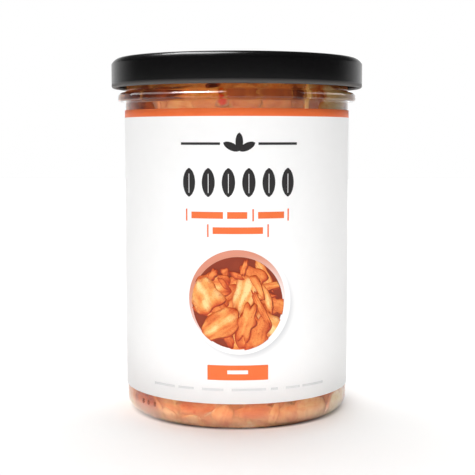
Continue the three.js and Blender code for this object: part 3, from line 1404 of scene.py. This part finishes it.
class Cut(Enum):
    """The kinds of cut that the jar is packed with."""

    STEM = CutSizes(
        "cabbage_stems", Vegetable("stem_flesh", CABBAGE, CHILLI_STAIN), count=76,
        half_length=(9.0, 15.0), half_width=(5.5, 9.0), thickness=(2.0, 3.6), start=(-1.4, -0.4),
        bite=(0.16, 0.3), lean=1.0, tilt=0.8, curl=(0.4, 1.6), tone=(0.08, 0.47), ragged=0.05,
        cells=(16, 12),
    )
    LEAF = CutSizes(
        "cabbage_leaves", Vegetable("leaf_flesh", CABBAGE, CHILLI_STAIN, vein_scale=0.6), count=84,
        half_length=(8.0, 15.0), half_width=(5.0, 9.5), thickness=(0.5, 1.1), start=(-1.4, -0.2),
        bite=(0.32, 0.46), lean=1.4, tilt=1.4, curl=(0.5, 2.0), tone=(0.3, 0.77), ragged=0.14,
        cells=(18, 12), ruffle=0.3,
    )
    STRIP = CutSizes(
        "radish_strips", Vegetable("radish_flesh", RADISH, CHILLI_STAIN), count=46,
        half_length=(8.0, 14.0), half_width=(0.9, 1.4), thickness=(1.6, 2.2), start=(-0.4, 0.6),
        bite=(0.48, 0.56), lean=1.0, tilt=1.5, curl=(0.2, 0.9), tone=(0.1, 0.8), ragged=0.04,
        cells=(14, 4), ruffle=0.1,
    )
    FLAKE = CutSizes(
        "chilli_flakes", Vegetable("chilli_flesh", PEPPER, CHILLI_STAIN), count=420,
        half_length=(0.25, 0.8), half_width=(0.2, 0.5), thickness=(0.15, 0.3), start=(-0.5, -0.1),
        bite=(0.58, 0.7), lean=0.1, tilt=1.5, curl=(0.0, 0.1), tone=(0.0, 1.0), ragged=0.15,
        cells=(3, 2),
    )


@dataclass(frozen=True)
class PlacedCut:
    """One cut: its place, its size and how it leans on the glass, in millimetres and radians."""

    azimuth: float
    height: float | None
    half: Span
    tilt: float
    tone: float
    start: float
    bite: float
    lean: Span = (0.0, 0.0)
    reach: float = 1.0


SHOWN_START = -1.8
SHOWN_BITE = 0.74
SHOWN_BITE_STEP = 0.025


@dataclass(frozen=True)
class ShownCut:
    """A cut that shows above or below the label, in millimetres, and in degrees from front to right."""

    kind: Cut
    azimuth: float
    height: float
    half: Span
    tilt: float
    tone: float

    def placed(self, level: int) -> PlacedCut:
        """Presses the cut flat on the glass, in front of the scattered cuts.

        Args:
            level: its number, which parts it from the others.

        Returns:
            The placed cut.
        """
        azimuth, tilt = math.radians(self.azimuth), math.radians(self.tilt)
        bite = SHOWN_BITE + SHOWN_BITE_STEP * level
        return PlacedCut(azimuth, self.height, self.half, tilt, self.tone, SHOWN_START, bite)


SHOWN_CUTS = (
    ShownCut(Cut.LEAF, -60, 104.0, (10.5, 5.5), 6, 0.92),
    ShownCut(Cut.LEAF, -40, 107.0, (10.0, 2.2), 4, 1.0),
    ShownCut(Cut.STEM, -28, 102.0, (6.2, 3.0), -6, 0.34),
    ShownCut(Cut.LEAF, -14, 103.6, (5.0, 4.0), 20, 0.5),
    ShownCut(Cut.LEAF, -12, 109.0, (2.6, 1.6), 30, 1.0),
    ShownCut(Cut.LEAF, 4, 105.5, (5.0, 5.0), -14, 0.46),
    ShownCut(Cut.LEAF, 20, 105.5, (5.5, 6.0), 6, 0.52),
    ShownCut(Cut.LEAF, 3, 106.3, (6.0, 1.4), 2, 0.84),
    ShownCut(Cut.LEAF, 20, 106.2, (6.0, 1.4), -2, 0.82),
    ShownCut(Cut.LEAF, 31, 107.0, (2.4, 1.8), -20, 1.0),
    ShownCut(Cut.STRIP, 37, 104.0, (7.0, 0.9), 86, 0.1),
    ShownCut(Cut.LEAF, 60, 104.0, (9.0, 5.0), -8, 0.08),
    ShownCut(Cut.FLAKE, -7, 104.6, (2.2, 1.9), 80, 0.0),
    ShownCut(Cut.LEAF, -56, 5.0, (8.0, 5.0), 8, 0.79),
    ShownCut(Cut.STEM, -37, 3.6, (2.6, 1.4), -12, 0.38),
    ShownCut(Cut.STEM, -25, 2.6, (3.6, 1.3), 12, 0.38),
    ShownCut(Cut.LEAF, -20, 7.0, (7.0, 3.0), 10, 0.63),
    ShownCut(Cut.STEM, -7, 5.0, (3.6, 3.4), 70, 0.47),
    ShownCut(Cut.LEAF, 9, 6.0, (5.0, 3.2), 4, 0.62),
    ShownCut(Cut.STEM, 19, 5.0, (3.4, 1.7), 78, 0.4),
    ShownCut(Cut.LEAF, 27, 4.0, (4.0, 4.0), -20, 0.5),
    ShownCut(Cut.STEM, 41, 5.5, (7.0, 3.6), -6, 0.35),
    ShownCut(Cut.STEM, 66, 5.0, (7.0, 4.0), 6, 0.03),
)


@dataclass
class KimchiFilling:
    """The brine that fills the jar and the cuts pressed against the glass in it, in millimetres."""

    jar: GlassJar
    fill_top: float
    bite: float = 0.12
    floor_share: float = 0.16
    floor_overhang: float = 1.0
    end_margin: float = 1.0
    floor_margin: float = 0.1
    top_margin: float = 0.6
    jitter: Span = (0.2, 0.8)
    ruffle_waves: Span = (0.5, 0.6)
    fade_depth: float = 1.4
    thinning: float = 0.6
    grain_range: Span = (0.0, 400.0)
    seed: int = 41
    steps: int = 128

    def build(self) -> None:
        """Makes the brine and the cuts that press against the glass out of it."""
        self._brine()
        draw = np.random.default_rng(self.seed)
        for kind in Cut:
            self._cuts(kind.value, draw)

    def _brine(self) -> None:
        """Fills the hollow with the liquid, which reaches just into the glass so that no gap shows."""
        jar = self.jar
        low = jar.floor_height - self.bite
        crown = low + jar.floor_crown
        inner_heel = (jar.floor_edge, jar.floor_height + jar.inner_heel_round)
        profile = Profile(0.0, crown)
        profile.bow((jar.floor_edge / 2, crown), (jar.floor_edge, low), steps=8)
        profile.arc(inner_heel, jar.inner_heel_round + self.bite, -90, 0, steps=10)
        profile.line(jar.inner_radius + self.bite, self.fill_top, steps=20)
        profile.line(0.0, self.fill_top, steps=6)
        piece = turn("brine", profile, self.steps)
        dress(piece, [ChilliBrine().material()])
        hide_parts("kimchi")

    def _on_wall(
        self, azimuth: float, sideways: np.ndarray, height: np.ndarray, depth: np.ndarray
    ) -> np.ndarray:
        """Finds points behind the wall, round the inner heel too.

        Args:
            azimuth: the cut's place round the jar, from the front.
            sideways: distances round the jar from there.
            height: heights above the table.
            depth: distances behind the glass.

        Returns:
            The points, in metres.
        """
        jar = self.jar
        height = np.clip(height, jar.floor_height + self.floor_margin, self.fill_top - self.top_margin)
        below = np.clip(jar.floor_height + jar.inner_heel_round - height, 0.0, jar.inner_heel_round)
        radius = jar.floor_edge + np.sqrt(jar.inner_heel_round ** 2 - below ** 2) - depth
        angle = azimuth + sideways / jar.inner_radius
        return np.stack([radius * np.sin(angle), -radius * np.cos(angle), height], axis=-1) * MM

    def _on_floor(
        self, middle: Span, sideways: np.ndarray, forwards: np.ndarray, depth: np.ndarray
    ) -> np.ndarray:
        """Finds points above the floor.

        Args:
            middle: the cut's centre.
            sideways: distances along X from there.
            forwards: distances against Y from there.
            depth: distances above the glass.

        Returns:
            The points, in metres.
        """
        jar = self.jar
        across = middle[0] + sideways
        along = middle[1] - forwards
        away = np.maximum(np.hypot(across, along), TINY)
        inside = np.minimum(1.0, (jar.floor_edge + self.floor_overhang) / away)
        crown = 1 - np.minimum(away * inside / jar.floor_edge, 1.0) ** 2
        height = jar.floor_height + jar.floor_crown * crown + depth
        return np.stack([across * inside, along * inside, height], axis=-1) * MM

    def _cuts(self, sizes: CutSizes, draw: np.random.Generator) -> None:
        """Packs all cuts of one kind as one piece, most against the wall and some on the floor.

        Args:
            sizes: the kind's sizes.
            draw: the seeded draws.
        """
        batch = SlabBatch(sizes.cells)
        turn_by = draw.uniform(0.0, 2 * math.pi)
        low, high = self.jar.floor_height + self.end_margin, self.fill_top - self.end_margin
        for index in range(sizes.count):
            height = low + (high - low) * (index + draw.uniform(*self.jitter)) / sizes.count
            self._cut(batch, sizes, self._scattered(sizes, draw, turn_by, index, height), draw)
        on_floor = max(1, round(sizes.count * self.floor_share))
        for index in range(on_floor):
            reach = math.sqrt((index + 0.5) / on_floor)
            self._cut(batch, sizes, self._scattered(sizes, draw, turn_by, index, None, reach), draw)
        for level, shown in enumerate(SHOWN_CUTS):
            if shown.kind.value is sizes:
                self._cut(batch, sizes, shown.placed(level), draw)
        dress(batch.build(sizes.piece), [sizes.finish.material()])

    @staticmethod
    def _scattered(
        sizes: CutSizes,
        draw: np.random.Generator,
        turn_by: float,
        index: int,
        height: float | None,
        reach: float = 1.0,
    ) -> PlacedCut:
        """Draws one cut's place, size and lean.

        Args:
            sizes: its kind's sizes.
            draw: the seeded draws.
            turn_by: where the kind's first cut lies round the jar.
            index: its number, which sets how far it bites into the glass, so that no two faces meet.
            height: its height on the wall, or None on the floor.
            reach: on the floor, its share of the way out to the wall.

        Returns:
            The placed cut.
        """
        return PlacedCut(
            azimuth=turn_by + index * GOLDEN_ANGLE,
            height=height,
            half=(draw.uniform(*sizes.half_length), draw.uniform(*sizes.half_width)),
            tilt=draw.uniform(-sizes.tilt, sizes.tilt),
            tone=draw.uniform(*sizes.tone),
            start=draw.uniform(*sizes.start),
            lean=(sizes.lean * draw.uniform(-1, 1), sizes.lean * draw.uniform(-1, 1)),
            bite=float(np.interp(index * math.sqrt(3) % 1.0, (0.0, 1.0), sizes.bite)),
            reach=reach,
        )

    def _cut(self, batch: SlabBatch, sizes: CutSizes, placed: PlacedCut, draw: np.random.Generator) -> None:
        """Bends one cut against the glass.

        Args:
            batch: the batch that takes it.
            sizes: its kind's sizes.
            placed: where it lies and how it leans.
            draw: the seeded draws.
        """
        along, across = batch.grid()
        length, width, edge = cut_outline(along, across, placed.half, sizes.ragged, draw)
        sideways, upwards = turned(length, width, placed.tilt)
        thickness = draw.uniform(*sizes.thickness)
        waves = np.stack([length, width]) * np.array(self.ruffle_waves)[:, None]
        waves += draw.uniform(0.0, 2 * math.pi, 2)[:, None]
        depth = placed.start + draw.uniform(*sizes.curl) * (along ** 2 + across ** 2) / 2
        depth += placed.lean[0] * along + placed.lean[1] * across
        depth += sizes.ruffle * edge * np.sin(waves[0]) * np.cos(waves[1])
        pressed = np.maximum(depth, -placed.bite)
        faces = (pressed, pressed + thickness * (1 - self.thinning * edge ** 4))
        if placed.height is None:
            away = placed.reach * self.jar.floor_edge
            middle = (away * math.sin(placed.azimuth), -away * math.cos(placed.azimuth))
            outer, inner = (self._on_floor(middle, sideways, upwards, face) for face in faces)
        else:
            heights = placed.height + upwards
            outer, inner = (self._on_wall(placed.azimuth, sideways, heights, face) for face in faces)
        rim = np.maximum(edge ** 2, np.clip(self.fade_depth + depth, 0.0, 1.0))
        grain = np.stack([length, width, np.full_like(length, draw.uniform(*self.grain_range))], axis=-1)
        batch.add(outer, inner, np.full_like(along, placed.tone), rim, grain)


@dataclass(frozen=True)
class Softbox:
    """A soft area lamp that faces the jar's axis, in metres, watts and degrees.

    A mirrored one shows only in glossy surfaces and any other only lights. None shows through the glass.
    """

    name: str
    place: Point
    size: Span
    power: float
    aim: float = 0.06
    spread: float = 180.0
    mirrored: bool = False
    glass_only: bool = False

    def hang(self, glass: bpy.types.Object) -> None:
        """Hangs the lamp.

        Args:
            glass: the jar's glass, the only piece that a lamp for the glass lights.
        """
        across, along, down = self.place[0], -self.place[1], self.place[2] - self.aim
        turn_down = math.atan2(math.hypot(across, along), down)
        deselect()
        bpy.ops.object.light_add(
            type="AREA", location=self.place, rotation=(turn_down, 0.0, math.atan2(across, along))
        )
        lamp = bpy.context.object
        lamp.name = self.name
        lamp.data.shape = "RECTANGLE"
        lamp.data.size, lamp.data.size_y = self.size
        lamp.data.energy = self.power
        lamp.data.spread = math.radians(self.spread)
        lamp.visible_glossy = self.mirrored
        lamp.visible_diffuse = not self.mirrored
        lamp.visible_transmission = False
        if self.glass_only:
            lamp.light_linking.receiver_collection = bpy.data.collections.new(self.name)
            lamp.light_linking.receiver_collection.objects.link(glass)


SOFTBOXES = (
    Softbox("key_softbox", (-0.28, -1.33, 0.92), (0.7, 0.7), 8.0),
    Softbox("front_softbox", (0.02, -1.50, 0.08), (0.2, 0.1), 0.09, aim=-0.012, spread=16.0),
    Softbox("top_softbox", (0.0, 1.5, 3.0), (6.0, 5.0), 222.0),
    Softbox("lid_streak", (-0.27, 0.38, 1.15), (0.36, 0.6), 9.0, mirrored=True),
    Softbox("bead_streak", (-0.70, -0.715, 1.0), (0.45, 1.3), 140.0, mirrored=True, glass_only=True),
    Softbox("bead_glow", (-0.70, -0.715, 1.0), (1.1, 1.3), 85.0, mirrored=True, glass_only=True),
    Softbox("left_rim", (-1.14, 0.05, 0.58), (1.5, 0.6), 9.0, mirrored=True, glass_only=True),
    Softbox("right_rim", (1.12, 0.15, 0.58), (1.4, 0.6), 7.0, mirrored=True, glass_only=True),
)


@dataclass
class Studio:
    """The floor, the light and the camera of the photograph."""

    distance: float = 378.0 * MM
    camera_height: float = 93.22 * MM
    camera_side: float = 0.243 * MM
    pitch: float = 0.0921
    lens: float = 82.65
    sensor_width: float = 36.0
    nearest: float = 10.0 * MM
    floor_size: float = 4.0
    room_light: Colour = (0.05, 0.05, 0.05, 1.0)
    backdrop_depths: Span = (0.15, 0.95)
    backdrop_rises: Span = (0.1, 0.45)

    def build(self, glass: bpy.types.Object) -> None:
        """Makes the floor, the world, the lamps and the camera.

        Args:
            glass: the jar's glass, which alone mirrors some of the lamps.
        """
        self._floor()
        self._world()
        for softbox in SOFTBOXES:
            softbox.hang(glass)
        self._camera()
        bpy.context.scene.view_settings.view_transform = "Standard"

    def _floor(self) -> None:
        """Lays the paper sweep."""
        deselect()
        bpy.ops.mesh.primitive_plane_add(size=self.floor_size)
        floor = bpy.context.object
        floor.name = "floor"
        floor.data.materials.append(StudioPaper().material())

    def _world(self) -> None:
        """Surrounds the jar with white, dark towards the front where the lid mirrors the room."""
        world = bpy.data.worlds.new("studio")
        bpy.context.scene.world = world
        shader = Shader(world)
        direction = shader.node("ShaderNodeTexCoord", output="Generated")
        depth = shader.node("ShaderNodeSeparateXYZ", {}, {"Vector": direction}, "Y")
        rise = shader.node("ShaderNodeSeparateXYZ", {}, {"Vector": direction}, "Z")
        backdrop = depth.between(*self.backdrop_depths) * (1 - rise.between(*self.backdrop_rises))
        seen = shader.node("ShaderNodeLightPath", output="Is Camera Ray")
        light = shader.mix(backdrop, self.room_light, WHITE_LIGHT)
        colour = shader.mix(seen, light, WHITE_LIGHT)
        surface = shader.node("ShaderNodeBackground", {}, {"Color": colour, "Strength": 1.0})
        shader.node("ShaderNodeOutputWorld", {}, {"Surface": surface})

    def _camera(self) -> None:
        """Sets the camera at the photograph's place and angle."""
        deselect()
        bpy.ops.object.camera_add(
            location=(self.camera_side, -self.distance, self.camera_height),
            rotation=(math.pi / 2 - self.pitch, 0.0, 0.0),
        )
        camera = bpy.context.object
        camera.data.lens = self.lens
        camera.data.sensor_width = self.sensor_width
        camera.data.clip_start = self.nearest
        bpy.context.scene.camera = camera


def main() -> None:
    """Builds every piece of the jar and the studio."""
    logging.basicConfig(level=logging.INFO, format="%(message)s")
    glass_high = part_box("glass_jar")[1]
    lid_low, lid_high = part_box("lid")
    label_low, label_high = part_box("label")
    kimchi_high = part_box("kimchi")[1]
    label_radius = label_high.x / MM
    jar = GlassJar(label_radius - LABEL_LIFT, glass_high.z / MM, glass_high.x / MM)
    lid = TwistLid(lid_high.x / MM, lid_low.z / MM, lid_high.z / MM)
    label = WrapLabel(label_radius, label_low.z / MM, label_high.z / MM)
    filling = KimchiFilling(jar, kimchi_high.z / MM)
    for assembly in (lid, label, filling):
        assembly.build()
    Studio().build(jar.build())


if __name__ == "__main__":
    main()
